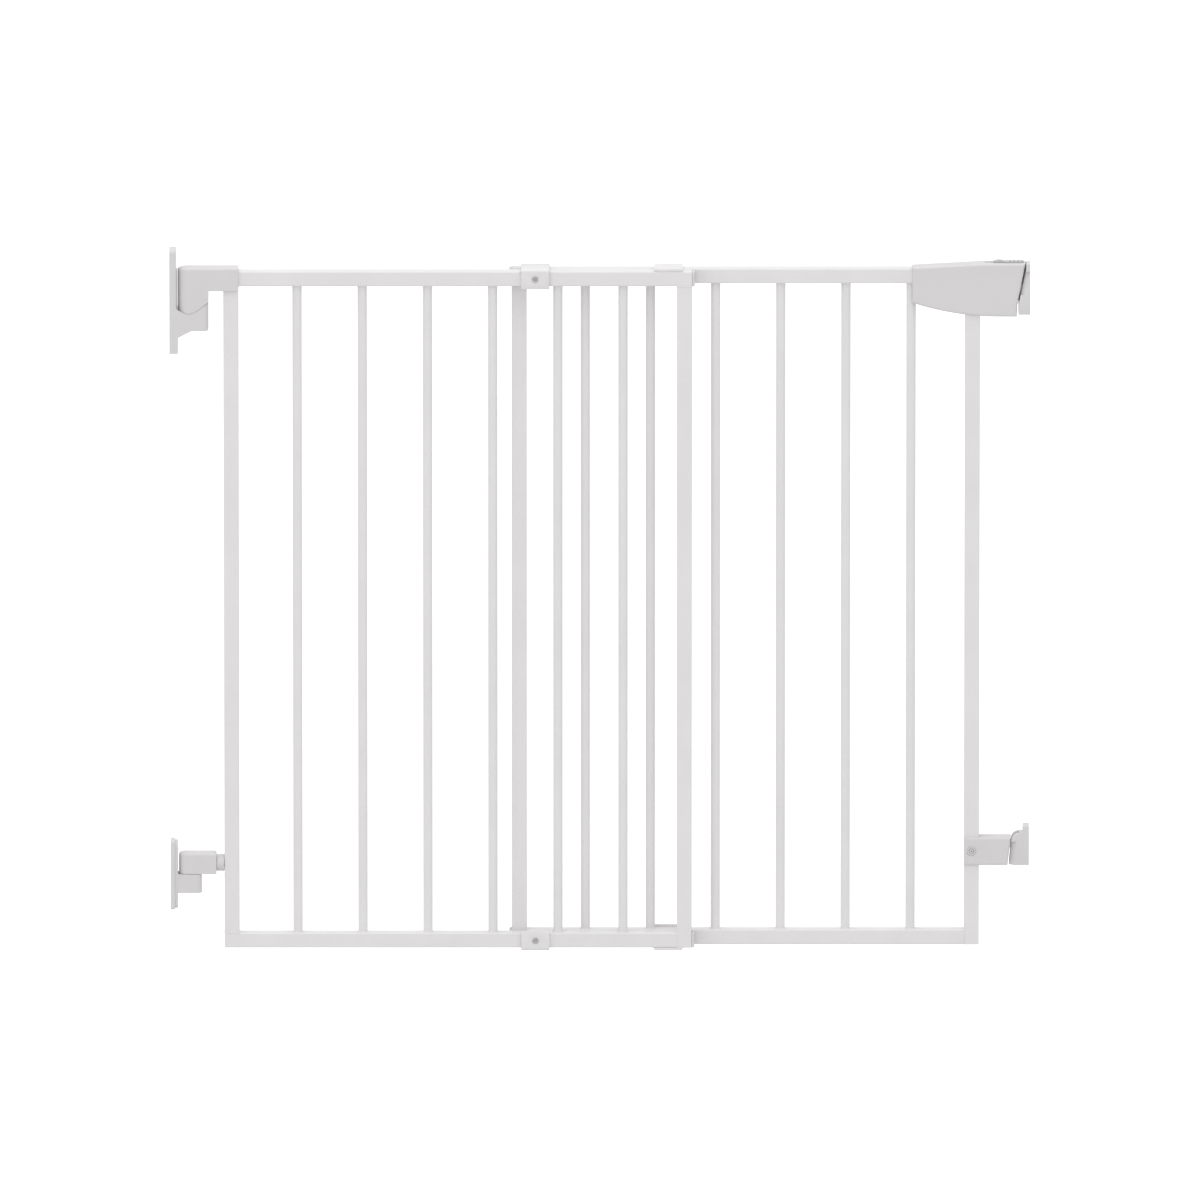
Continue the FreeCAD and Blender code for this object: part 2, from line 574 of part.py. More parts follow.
def latch_housing(label, half, hidden):
    """Half of the moulded latch case; half is the side of the split, - in front and + behind."""
    part = body(label, LATCH_FACE, PANEL_PITCH, TOP)
    front = half == "-"
    outline = sketch_on(part, "XZ", MOULD_HALF if front else "0")
    polygon(outline, (("-house_left", "-house_left_low", "belly"), ("house_flat", "-house_low"),
                      ("house_end_low", "-house_low"), ("house_end_step", "-house_step"),
                      ("house_end_top", "house_top"), ("chamber_left", "house_top"),
                      ("-house_left", "house_left_top")))
    pad(part, outline, MOULD_HALF, reverse=True)
    dress(part, "Fillet", "edge_round", lambda edge: in_plane(edge, "y", half + MOULD_HALF))
    for left, low, right, top in (
            ("-house_left - 1", "-tube - sleeve_gap", "sleeve_gap", "sleeve_gap"),
            ("-tube - sleeve_gap", "-house_low - 1", "sleeve_gap", "sleeve_gap - 1"),
            ("chamber_left", "-chamber_low", "chamber_right", "chamber_top")):
        room = sketch_on(part, "XZ")
        rectangle(room, left, low, right, top)
        cut(part, room, SLEEVE_HALF, forward=front)
    bar_side = "(bar_width / 2 + sleeve_gap - last_gap - tube / 2)"
    if amount(bar_side) > amount("-house_left"):
        notch = sketch_on(part, "XZ")
        rectangle(notch, "-house_left - 1", "-house_low", bar_side, "-tube")
        cut(part, notch, "bar_width / 2 + sleeve_gap", forward=front)
    passage = sketch_on(part, "XZ")
    rectangle(passage, "chamber_right - 1", "-bolt_low - slide_gap", "house_end_top + 1",
              "bolt_tall - bolt_low + slide_gap")
    cut(part, passage, "bolt_half + slide_gap", forward=front)
    slot = sketch_on(part, "XZ")
    rectangle(slot, "slot_start", "chamber_top - 1", "slot_end", "house_top + 1")
    cut(part, slot, "stem_half + slide_gap", forward=front)
    holes = sketch_on(part, "XZ")
    for x, z in HOUSE_SCREWS:
        circle(holes, x, z, "house_screw / 2")
    cut(part, holes, "house_screw_end" if front else MOULD_HALF, forward=front)
    if hidden:
        heads = sketch_on(part, "XZ", f"-{MOULD_HALF}")
        for x, z in HOUSE_SCREWS:
            circle(heads, x, z, "house_head / 2")
        cut(part, heads, "house_head_deep", forward=True)


def house_screws():
    """The three screws that close the latch case from behind, as separate solids of one node."""
    solids = []
    deep = amount("house_head_deep - head_play")
    length = amount(f"{MOULD_HALF} - house_head_deep + house_screw_end - screw_play")
    front = FreeCAD.Vector(0, -1, 0)
    back = FreeCAD.Vector(0, 1, 0)
    socket_depth = back * (deep / 2)
    for x, z in HOUSE_SCREWS:
        seat = FreeCAD.Vector(amount(x), amount(f"{MOULD_HALF} - house_head_deep"), amount(z))
        head = Part.makeCylinder(amount("house_head / 2 - run_gap"), deep, seat, back)
        shank = Part.makeCylinder(amount("house_screw / 2"), length, seat, front)
        slot = Part.makeCylinder(amount("hex_key / 4"), deep, seat + socket_depth, back)
        solids.append(head.fuse(shank).cut(slot).removeSplitter())
    feature("latch_housing_screws", Part.makeCompound(solids), LATCH_FACE, PANEL_PITCH, TOP)


def feature(label, shape, x, y, z):
    """A sub-part whose shape is worked out from the sheet here."""
    part = doc.addObject("Part::Feature", label)
    part.Label = label
    part.Shape = shape
    place = FreeCAD.Placement(FreeCAD.Vector(amount(x), amount(y), amount(z)), FreeCAD.Rotation())
    part.Placement = place.multiply(shape.Placement)
    pieces.append(part)
    return part


def latch_bolt():
    """Spring bolt with the stem that the thumb slide sits on."""
    part = body("latch_bolt", LATCH_FACE, PANEL_PITCH, TOP)
    bar = sketch_on(part, "XY", "-bolt_low")
    polygon(bar, (("bolt_tail", "-bolt_half"), ("bolt_nose", "-bolt_half"),
                  ("bolt_nose", "bolt_half - bolt_bevel"), ("bolt_nose - bolt_bevel", "bolt_half"),
                  ("bolt_tail", "bolt_half")))
    pad(part, bar, "bolt_tall")
    stem = sketch_on(part, "XY", "bolt_tall - bolt_low")
    rectangle(stem, "stem_start", "-stem_half", "stem_start + stem_long", "stem_half")
    pad(part, stem, "bolt_low - bolt_tall + house_top + slide_gap")


def thumb_slide():
    """Ribbed slide on top of the latch case that draws the bolt back."""
    part = body("thumb_slide", LATCH_FACE, PANEL_PITCH, f"{TOP} + house_top + slide_gap")
    plate = sketch_on(part, "XY")
    rectangle(plate, "slide_start", "-slide_half", "slide_start + slide_long", "slide_half")
    pad(part, plate, "slide_thick")
    dress(part, "Fillet", "edge_round", lambda edge: along(edge, "z"))
    bump = sketch_on(part, "XY", "slide_thick")
    rectangle(bump, "slide_start + rib_wide", "rib_wide - slide_half", "slide_start + rib_wide + bump_long",
              "slide_half - rib_wide")
    pad(part, bump, "bump_tall")
    dress(part, "Fillet", "small_round", lambda edge: in_plane(edge, "z", "slide_thick + bump_tall"))
    for number in range(int(amount("rib_count"))):
        rib = sketch_on(part, "XY", "slide_thick")
        left = f"slide_start + rib_start + {number} * rib_pitch"
        rectangle(rib, left, "rib_wide - slide_half", f"{left} + rib_wide", "slide_half - rib_wide")
        pad(part, rib, "rib_tall")


def bolt_spring():
    """Compression spring between the case and the bolt's tail."""
    radius = amount("bolt_half - spring_wire")
    wire = amount("spring_wire / 2")
    length = amount("bolt_tail - chamber_left - 2 * spring_wire")
    helix = Part.makeHelix(length / amount("spring_turns"), length, radius)
    start = FreeCAD.Vector(radius, 0, 0)
    section = Part.Wire(Part.makeCircle(wire, start, FreeCAD.Vector(0, 1, 0)))
    coil = Part.Wire(helix).makePipeShell([section], True, True)
    coil.rotate(FreeCAD.Vector(), FreeCAD.Vector(0, 1, 0), 90)
    coil.translate(FreeCAD.Vector(amount("chamber_left + spring_wire"), 0,
                                  amount("bolt_tall / 2 - bolt_low")))
    wire_solid = Part.Solid(coil) if coil.ShapeType == "Shell" else coil
    feature("bolt_spring", wire_solid, LATCH_FACE, PANEL_PITCH, TOP)


def bottom_latch_bracket():
    """Clevis on the latch post that carries the fixed catch of the lower strike."""
    part = body("bottom_latch_bracket", LATCH_FACE, PANEL_PITCH, "rail_underside")
    side = sketch_on(part, "XZ")
    polygon(side, (("-tube", "catch_bracket_low"), ("catch_bracket_end", "catch_bracket_low"),
                   ("catch_bracket_end + catch_bracket_lean", "catch_bracket_top"),
                   ("-tube", "catch_bracket_top")))
    pad(part, side, f"2 * {MOULD_HALF}", symmetric=True)
    dress(part, "Fillet", "edge_round", lambda edge: in_plane(edge, "y", MOULD_HALF)
          or in_plane(edge, "y", "-" + MOULD_HALF))
    post = sketch_on(part, "XZ")
    rectangle(post, "-tube - 1", "catch_bracket_low - 1", "sleeve_gap", "catch_bracket_top + 1")
    cut(part, post, f"2 * {SLEEVE_HALF}", symmetric=True)
    catch = sketch_on(part, "XZ")
    rectangle(catch, "catch_start", "catch_low", "catch_nose", "catch_low + catch_tall")
    cut(part, catch, "2 * catch_half", symmetric=True)
    screw = sketch_on(part, "XZ")
    circle(screw, "-tube / 2", "cross_level", "cross_screw / 2")
    cut(part, screw, "3 * tube", symmetric=True)
    for plane, forward in ((MOULD_HALF, False), ("-" + MOULD_HALF, True)):
        head = sketch_on(part, "XZ", plane)
        circle(head, "-tube / 2", "cross_level", "cross_head / 2")
        cut(part, head, "cross_head_deep", forward=forward)


def bottom_catch():
    """Steel tongue held in the clevis; it drops behind the lower strike's lip."""
    part = body("bottom_catch", LATCH_FACE, PANEL_PITCH, "rail_underside")
    tongue = sketch_on(part, "XZ")
    rectangle(tongue, "catch_start", "catch_low", "catch_nose", "catch_low + catch_tall")
    pad(part, tongue, "2 * catch_half", symmetric=True)
    dress(part, "Fillet", "small_round", lambda edge: in_plane(edge, "x", "catch_nose"))


def cross_screw():
    """Screw through the clevis and the post, and its barrel nut behind."""
    head_seat = f"{PANEL_PITCH} - {MOULD_HALF} + cross_head_deep"
    level = "rail_underside + cross_level"
    middle = f"{LATCH_FACE} - tube / 2"
    headed_screw("bottom_latch_screw", middle, head_seat, level, "cross_screw",
                 "(cross_head - 2 * run_gap)", "cross_head_deep", f"2 * {MOULD_HALF} - 2 * cross_head_deep")
    nut = body("bottom_latch_nut", middle, f"{PANEL_PITCH} + {MOULD_HALF} - cross_head_deep", level)
    disc = sketch_on(nut, "XZ")
    circle(disc, "0", "0", "cross_head / 2 - run_gap")
    pad(nut, disc, "cross_head_deep", reverse=True)
    hole = sketch_on(latch_post, "XZ")
    circle(hole, "0", "cross_level", "cross_screw / 2")
    cut(latch_post, hole, "2 * tube", symmetric=True)


latch_housing("latch_housing_front", "-", False)
latch_housing("latch_housing_back", "", True)
house_screws()
latch_bolt()
thumb_slide()
bolt_spring()
bottom_latch_bracket()
bottom_catch()
cross_screw()

# ---------------------------------------------------------------- strikes on the latch wall


def ramp(part, left, level, rise, lean):
    """Scooped lead-in on a strike's front corner, following its leaning edge."""
    wedge = sketch_on(part, "XY", level)
    clear = f"-{MOULD_HALF} - ramp_over"
    polygon(wedge, ((f"{left} - ramp_over", clear), (f"{left} + ramp_wide", clear),
                    (f"{left} + ramp_wide", f"-{MOULD_HALF}"), (left, "-ramp_end"),
                    (f"{left} - ramp_over", "-ramp_end")))
    cut(part, wedge, rise, lean=lean)


def upper_strike():
    """Wall strike whose pocket takes the spring bolt; its edge leans as the latch case does."""
    part = body("upper_strike", DOORWAY, PANEL_PITCH, TOP)
    side = sketch_on(part, "XZ")
    polygon(side, (("-strike_thick", "-strike_low"), ("0", "-strike_low"), ("0", "strike_top"),
                   ("-strike_thin", "strike_top"), ("-strike_thin", "0"),
                    ("-strike_thick", "-strike_step")))
    pad(part, side, f"2 * {MOULD_HALF}", symmetric=True)
    lean = "(strike_thick - strike_thin) / strike_step"
    ramp(part, f"-strike_thick + {lean} * (strike_step - pocket_low)", "-pocket_low",
         "pocket_low - pocket_top", FreeCAD.Vector(amount(lean), 0, 1))
    pocket = sketch_on(part, "XY", "-pocket_low")
    rectangle(pocket, "-strike_thick - 1", "-pocket_front", "-pocket_wall", "pocket_rear")
    cut(part, pocket, "pocket_low - pocket_top")
    strike_holes(part, "-strike_low + strike_hole_rise", "strike_thick")


def strike_holes(part, level, thick):
    """Two holes side by side for the strike's wall screws."""
    holes = sketch_on(part, "YZ", f"-({thick}) - strike_hole_start")
    for side in ("-", ""):
        circle(holes, f"{side}strike_hole_half", level, "strike_hole / 2")
    cut(part, holes, f"({thick}) + strike_hole_start")


def lower_strike():
    """Wall keep with a lip that the fixed catch drops behind."""
    part = body("lower_strike", DOORWAY, PANEL_PITCH, "rail_underside")
    side = sketch_on(part, "XZ")
    polygon(side, (("-keep_boss", "keep_low"), ("0", "keep_low"), ("0", "keep_top"),
                   ("-keep_plate", "keep_top"), ("-keep_plate", "keep_boss_top"),
                   ("-keep_boss_flat", "keep_boss_top", "keep_round"),
                   ("-keep_boss_shoulder", "keep_shoulder")))
    pad(part, side, f"2 * {MOULD_HALF}", symmetric=True)
    slope = amount("(keep_boss - keep_boss_shoulder) / (keep_shoulder - keep_low)")
    ramp(part, "-keep_boss", "keep_low - 1", "keep_shoulder - keep_low + 1", FreeCAD.Vector(slope, 0, 1))
    pocket = sketch_on(part, "XY", "keep_pocket")
    rectangle(pocket, "-keep_boss - 1", "-pocket_front", "-keep_pocket_end", "pocket_rear")
    cut(part, pocket, "keep_boss_top - keep_pocket + 1")
    strike_holes(part, "keep_low + strike_hole_rise", "keep_boss")


upper_strike()
lower_strike()

# ---------------------------------------------------------------- check and write

doc.recompute()
faults = [item.Name for item in doc.Objects if {"Invalid", "Error"} & set(item.State)]
faults += [item.Label for item in pieces if item.Shape.isNull() or not item.Shape.isValid()]
if faults:
    raise ValueError("not sound: " + ", ".join(faults))
os.makedirs("parts", exist_ok=True)
for item in pieces:
    item.Shape.exportStep(os.path.join("parts", item.Label + ".step"))
print(len(pieces), "sub-parts written")
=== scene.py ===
import json
from math import atan2, cos, pi, radians, sin

import bpy
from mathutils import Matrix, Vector


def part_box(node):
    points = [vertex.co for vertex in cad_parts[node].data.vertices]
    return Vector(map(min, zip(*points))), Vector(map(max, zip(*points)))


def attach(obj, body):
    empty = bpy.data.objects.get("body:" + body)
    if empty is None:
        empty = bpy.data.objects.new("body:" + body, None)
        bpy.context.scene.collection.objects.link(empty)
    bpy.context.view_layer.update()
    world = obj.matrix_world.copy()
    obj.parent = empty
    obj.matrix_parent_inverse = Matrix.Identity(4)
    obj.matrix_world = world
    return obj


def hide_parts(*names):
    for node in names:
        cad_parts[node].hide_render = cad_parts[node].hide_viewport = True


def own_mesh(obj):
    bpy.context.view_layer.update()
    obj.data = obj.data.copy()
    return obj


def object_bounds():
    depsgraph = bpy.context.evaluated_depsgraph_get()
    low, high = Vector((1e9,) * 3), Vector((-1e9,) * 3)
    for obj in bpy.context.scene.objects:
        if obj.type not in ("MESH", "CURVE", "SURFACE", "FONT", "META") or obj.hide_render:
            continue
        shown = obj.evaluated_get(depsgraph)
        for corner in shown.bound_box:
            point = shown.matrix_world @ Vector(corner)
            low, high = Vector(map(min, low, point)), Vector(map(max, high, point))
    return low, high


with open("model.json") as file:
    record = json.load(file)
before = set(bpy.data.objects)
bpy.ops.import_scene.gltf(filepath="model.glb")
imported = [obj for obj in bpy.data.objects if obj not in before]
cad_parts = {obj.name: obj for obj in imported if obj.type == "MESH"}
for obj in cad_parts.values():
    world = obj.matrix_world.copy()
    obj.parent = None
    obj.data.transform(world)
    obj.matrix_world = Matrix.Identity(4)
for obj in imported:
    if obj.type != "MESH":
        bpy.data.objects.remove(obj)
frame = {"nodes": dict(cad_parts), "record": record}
cad_box = [list(corner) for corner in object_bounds()]
nodes = frame["nodes"]
MM = 0.001


# ------------------------------------------------------------ working with pieces
def clear():
    """Leaves edit mode and lets go of everything."""
    if bpy.context.object and bpy.context.object.mode != "OBJECT":
        bpy.ops.object.mode_set(mode="OBJECT")
    bpy.ops.object.select_all(action="DESELECT")


def hold(piece):
    """Selects this piece alone."""
    clear()
    piece.select_set(True)
    bpy.context.view_layer.objects.active = piece


def settle(piece):
    """Moves the piece's place, turn and size into its mesh."""
    hold(piece)
    bpy.ops.object.transform_apply(location=True, rotation=True, scale=True)
    return piece


def edit(piece, kind, wanted):
    """Enters edit mode with just the wanted faces, edges or corners selected."""
    hold(piece)
    bpy.ops.object.mode_set(mode="EDIT")
    bpy.ops.mesh.select_mode(type=kind)
    bpy.ops.mesh.select_all(action="DESELECT")
    bpy.ops.object.mode_set(mode="OBJECT")
    corners = piece.data.vertices
    if kind == "FACE":
        for face in piece.data.polygons:
            face.select = bool(wanted(face.center, face.normal))
    elif kind == "EDGE":
        for edge in piece.data.edges:
            edge.select = bool(wanted(*(corners[end].co for end in edge.vertices)))
    else:
        for corner in corners:
            corner.select = bool(wanted(corner.co))
    bpy.ops.object.mode_set(mode="EDIT")


def modify(piece, kind, **settings):
    """Adds one modifier, sets it and applies it."""
    hold(piece)
    made = piece.modifiers.new(kind.lower(), kind)
    for setting, value in settings.items():
        setattr(made, setting, value)
    bpy.ops.object.modifier_apply(modifier=made.name)


def soften(piece, width, segments=2, angle=35):
    """Rounds the sharp edges and smooths the rest."""
    modify(piece, "BEVEL", width=width, segments=segments, limit_method="ANGLE",
           angle_limit=radians(angle))
    hold(piece)
    bpy.ops.object.shade_smooth_by_angle(angle=radians(angle))


def block(name, low, high):
    """A box between two corners, to be shaped."""
    clear()
    low, high = Vector(low), Vector(high)
    bpy.ops.mesh.primitive_cube_add(size=1, location=(low + high) / 2)
    piece = bpy.context.object
    piece.name = name
    piece.scale = high - low
    return settle(piece)


TURNED = {"x": (0, pi / 2, 0), "y": (-pi / 2, 0, 0), "z": (0, 0, 0)}


def rod(name, place, axis, length, radius, sides=48):
    """A round blank that starts at place and runs along the axis, to be shaped."""
    clear()
    middle = Vector(place)
    middle["xyz".index(axis)] += length / 2
    bpy.ops.mesh.primitive_cylinder_add(vertices=sides, radius=radius, depth=abs(length),
                                        location=middle, rotation=TURNED[axis])
    piece = bpy.context.object
    piece.name = name
    return settle(piece)


def ring(name, place, axis, radius, thick, around=40, sides=8):
    """A torus about the axis at place."""
    clear()
    bpy.ops.mesh.primitive_torus_add(major_radius=radius, minor_radius=thick, location=place,
                                     rotation=TURNED[axis], major_segments=around,
                                     minor_segments=sides)
    piece = bpy.context.object
    piece.name = name
    return settle(piece)


def copied(piece, name, shift=(0, 0, 0)):
    """Another of the piece, with its own mesh, moved by shift."""
    twin = piece.copy()
    twin.data = piece.data.copy()
    twin.name = name
    bpy.context.scene.collection.objects.link(twin)
    twin.parent = None
    twin.location = shift
    return settle(twin)


def joined(name, parts):
    """One piece out of several."""
    clear()
    for part in parts:
        part.select_set(True)
    bpy.context.view_layer.objects.active = parts[0]
    bpy.ops.object.join()
    parts[0].name = name
    return parts[0]


def carve(piece, cutter, operation="DIFFERENCE"):
    """Takes the cutter's shape out of the piece, or joins it on, and removes the cutter."""
    modify(piece, "BOOLEAN", object=cutter, operation=operation, solver="EXACT")
    bpy.data.objects.remove(cutter)


def from_node(node, name):
    """A merged copy of a node's mesh, its flat faces whole, to be finished by hand."""
    piece = nodes[node].copy()
    piece.data = nodes[node].data.copy()
    for mark in list(piece.keys()):
        del piece[mark]
    piece.name = name
    piece.parent = None
    bpy.context.scene.collection.objects.link(piece)
    edit(piece, "VERT", lambda place: True)
    bpy.ops.mesh.customdata_custom_splitnormals_clear()
    bpy.ops.mesh.remove_doubles(threshold=0.000008)
    bpy.ops.mesh.dissolve_limited(angle_limit=radians(0.4))
    clear()
    return piece


def fit(piece, body, material, slot, *replaced):
    """Gives a finished piece its material and its body, and hides the nodes it stands for."""
    piece.data.materials.clear()
    piece.data.materials.append(material)
    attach(piece, body)
    if replaced:
        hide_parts(*replaced)
    return piece


# ------------------------------------------------------------ finishes
def group(name, inputs, outputs):
    """An empty shader group with named sockets: floats and vectors in, floats or colours out."""
    tree = bpy.data.node_groups.new(name, "ShaderNodeTree")
    for label, value in inputs:
        kind = "NodeSocketVector" if value is None else "NodeSocketFloat"
        socket = tree.interface.new_socket(label, in_out="INPUT", socket_type=kind)
        if value is not None:
            socket.default_value = value
    for label, kind in outputs:
        tree.interface.new_socket(label, in_out="OUTPUT", socket_type="NodeSocket" + kind)
    return tree, tree.nodes.new("NodeGroupInput"), tree.nodes.new("NodeGroupOutput")


def add(tree, kind, **settings):
    """A shader node; a setting is a socket's value or link, or one of the node's own properties."""
    node = tree.nodes.new("ShaderNode" + kind)
    for label, value in settings.items():
        socket = node.inputs.get(label.replace("_", " "))
        if socket is None and label in ("in0", "in1", "in2"):
            socket = node.inputs[int(label[2:])]
        if socket is None:
            setattr(node, label, value)
        elif isinstance(value, bpy.types.NodeSocket):
            tree.links.new(value, socket)
        else:
            socket.default_value = value
    return node


def maths(tree, operation, *values):
    """A sum of values or links."""
    node = tree.nodes.new("ShaderNodeMath")
    node.operation = operation
    for socket, value in zip(node.inputs, values):
        if isinstance(value, bpy.types.NodeSocket):
            tree.links.new(value, socket)
        else:
            socket.default_value = value
    return node.outputs[0]


def blended(tree, amount, first, second):
    """A colour between two others."""
    node = tree.nodes.new("ShaderNodeMix")
    node.data_type = "RGBA"
    for label, value in (("Factor_Float", amount), ("A_Color", first), ("B_Color", second)):
        socket = next(item for item in node.inputs if item.identifier == label)
        if isinstance(value, bpy.types.NodeSocket):
            tree.links.new(value, socket)
        else:
            socket.default_value = value if isinstance(value, float) else (*value, 1)
    return next(item for item in node.outputs if item.identifier == "Result_Color")


def grain_group():
    """Fine relief of a coated or moulded skin: broad flow under close grain."""
    tree, given, result = group("skin grain", (("Place", None), ("Grain", 900), ("Flow", 90),
                                               ("Grain Share", 0.5)), (("Height", "Float"),))
    close = add(tree, "TexNoise", Vector=given.outputs["Place"], Scale=given.outputs["Grain"],
                Detail=2, Roughness=0.55)
    broad = add(tree, "TexNoise", Vector=given.outputs["Place"], Scale=given.outputs["Flow"],
                Detail=1, Roughness=0.4)
    share = given.outputs["Grain Share"]
    fine = maths(tree, "MULTIPLY", close.outputs["Fac"], share)
    coarse = maths(tree, "MULTIPLY", broad.outputs["Fac"], maths(tree, "SUBTRACT", 1, share))
    tree.links.new(maths(tree, "ADD", fine, coarse), result.inputs["Height"])
    return tree


def edge_group():
    """A mask that rises where an edge is turned, as where a coat lies thin or a rim is worn; under a
    darker edge colour it paints shade into rims and grooves.
    """
    tree, given, result = group("edge wear and painted groove shade", (("Place", None), ("Reach", 0.0009), ("Breaks", 160)),
                                (("Mask", "Float"), ("Eased Normal", "Vector")))
    rounded = add(tree, "Bevel", samples=4, Radius=given.outputs["Reach"])
    flat = add(tree, "NewGeometry")
    match = add(tree, "VectorMath", operation="DOT_PRODUCT", in0=rounded.outputs["Normal"],
                in1=flat.outputs["Normal"])
    turned = maths(tree, "SUBTRACT", 1, match.outputs["Value"])
    breaks = add(tree, "TexNoise", Vector=given.outputs["Place"], Scale=given.outputs["Breaks"],
                 Detail=3)
    # Turned edges broken by noise: edge wear, and painted shade in rims and grooves where a finish's
    # edge colour is darker.
    edge_wear_and_shade = maths(tree, "MULTIPLY", maths(tree, "MULTIPLY", turned, 6), breaks.outputs["Fac"])
    tree.links.new(maths(tree, "MINIMUM", edge_wear_and_shade, 1), result.inputs["Mask"])
    tree.links.new(rounded.outputs["Normal"], result.inputs["Eased Normal"])
    return tree


def handling_group():
    """Slow patches, as of handling and faint dust, from 0 to 1."""
    tree, given, result = group("handling", (("Place", None), ("Size", 14)), (("Mask", "Float"),))
    patches = add(tree, "TexNoise", Vector=given.outputs["Place"], Scale=given.outputs["Size"],
                  Detail=5, Roughness=0.62)
    spread = add(tree, "MapRange", Value=patches.outputs["Fac"], in1=0.36, in2=0.68)
    tree.links.new(spread.outputs["Result"], result.inputs["Mask"])
    return tree


GRAIN, EDGES, HANDLING = grain_group(), edge_group(), handling_group()


def use(tree, effect, place, **values):
    """Places a shared effect in a material with its own values."""
    node = tree.nodes.new("ShaderNodeGroup")
    node.node_tree = effect
    tree.links.new(place, node.inputs["Place"])
    for label, value in values.items():
        node.inputs[label.replace("_", " ")].default_value = value
    return node.outputs


def finish(name, colour, edge_colour, rough, grain, flow, share, relief, edge_amount=0.5,
           patch=0.04, metal=0.0, reach=0.0006, shader=()):
    """A finish from the shared effects: colour with edge wear, uneven gloss and fine relief; where
    the edge colour is darker than the body, the edge mask paints shade into rims and grooves.
    """
    material = bpy.data.materials.new(name)
    material.use_nodes = True
    tree = material.node_tree
    skin = tree.nodes["Principled BSDF"]
    place = add(tree, "TexCoord").outputs["Object"]
    height = use(tree, GRAIN, place, Grain=grain, Flow=flow, Grain_Share=share)["Height"]
    edges = use(tree, EDGES, place, Reach=reach)
    patches = use(tree, HANDLING, place)["Mask"]
    dulled = [part * (1 - patch) for part in colour]
    base = blended(tree, patches, colour, dulled)
    # Edge colour over the mask: lighter edge wear on most finishes, painted shade in rims and
    # grooves on the plated screw.
    tone = blended(tree, maths(tree, "MULTIPLY", edges["Mask"], edge_amount), base, edge_colour)
    tree.links.new(tone, skin.inputs["Base Color"])
    gloss = maths(tree, "ADD", rough - 0.05, maths(tree, "MULTIPLY", patches, 0.1))
    tree.links.new(gloss, skin.inputs["Roughness"])
    bump = add(tree, "Bump", Height=height, Distance=relief, Strength=1.0,
               Normal=edges["Eased Normal"])
    tree.links.new(bump.outputs["Normal"], skin.inputs["Normal"])
    skin.inputs["Metallic"].default_value = metal
    for label, value in dict(shader).items():
        skin.inputs[label].default_value = value
    return material


powder_white = finish("white powder coat", (0.80, 0.785, 0.79), (0.86, 0.85, 0.85), rough=0.34,
                      grain=620, flow=60, share=0.6, relief=0.08 * MM,
                      shader={"Coat Weight": 0.12, "Coat Roughness": 0.25})
moulded_white = finish("white moulding", (0.70, 0.685, 0.69), (0.78, 0.77, 0.77), rough=0.46,
                       grain=2600, flow=35, share=0.75, relief=0.05 * MM, patch=0.03,
                       shader={"Specular IOR Level": 0.45})
moulded_grey = finish("grey moulding", (0.50, 0.49, 0.495), (0.58, 0.57, 0.575), rough=0.5,
                      grain=2600, flow=35, share=0.75, relief=0.06 * MM, patch=0.06)
zinc = finish("zinc plate", (0.56, 0.56, 0.55), (0.72, 0.72, 0.70), rough=0.33, grain=1500,
              flow=220, share=0.35, relief=0.03 * MM, metal=0.9, patch=0.12)
# The plated screw's darker edge colour is painted shade in its rim and turned groove, along with
# rubbed plating on the rim.
white_zinc = finish("white plated screw", (0.72, 0.71, 0.71), (0.5, 0.5, 0.49), rough=0.42,
                    grain=1400, flow=200, share=0.4, relief=0.03 * MM, metal=0.05, patch=0.08)
bolt_steel = finish("drawn steel", (0.50, 0.50, 0.49), (0.62, 0.62, 0.61), rough=0.28, grain=2200,
                    flow=300, share=0.5, relief=0.02 * MM, metal=1.0, patch=0.1)

BY_SLOT = {"white_paint": powder_white, "white_plastic": moulded_white, "grey_plastic": moulded_grey,
           "zinc_screws": zinc, "white_screws": white_zinc, "zinc_steel": bolt_steel}
for part in frame["record"]["subparts"]:
    mesh = nodes[part["node"]].data
    mesh.materials.clear()
    mesh.materials.append(BY_SLOT[part["material_slot"]])


# ------------------------------------------------------------ welds of the two panels
BARS = 6
RIPPLES = 32


def bar_welds(panel):
    """A small rippled bead round each bar where it meets the rails."""
    beads = []
    for number in range(1, BARS + 1):
        low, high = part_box(f"{panel}_bar_{number}")
        at = (low + high) / 2
        for level in (low.z, high.z):
            spot = Vector((at.x, at.y, level))
            if beads:
                beads.append(copied(beads[0], "bead", spot - first))
                continue
            first = spot
            bead = ring("bead", spot, "z", (high.x - low.x) / 2 + 0.1 * MM, 1.1 * MM, RIPPLES)
            edit(bead, "VERT", lambda place: round(atan2(place.y - at.y, place.x - at.x)
                                                   / (2 * pi / RIPPLES)) % 2 == 0)
            bpy.ops.transform.resize(value=(1.03, 1.03, 0.86))
            hold(bead)
            bpy.ops.object.shade_smooth()
            beads.append(bead)
    fit(joined(panel + "_bar_welds", beads), panel, powder_white, "white_paint")


def butt_weld(name, node, end, proud=0.3 * MM, wide=0.8 * MM):
    """A dressed weld round a tube's butted end; end is that end's axis and side."""
    low, high = (Vector(corner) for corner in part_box(node))
    axis = "xyz".index(end[0])
    level = high[axis] if end[1] == "+" else low[axis]
    for across in range(3):
        low[across] -= proud
        high[across] += proud
    low[axis], high[axis] = level - wide, level + wide
    bead = block(name, low, high)
    edit(bead, "EDGE", lambda one, two: abs((one - two)[axis]) > wide)
    bpy.ops.mesh.bevel(offset=1.7 * MM, segments=5, affect="EDGES")
    clear()
    soften(bead, 0.3 * MM, segments=3)
    return bead


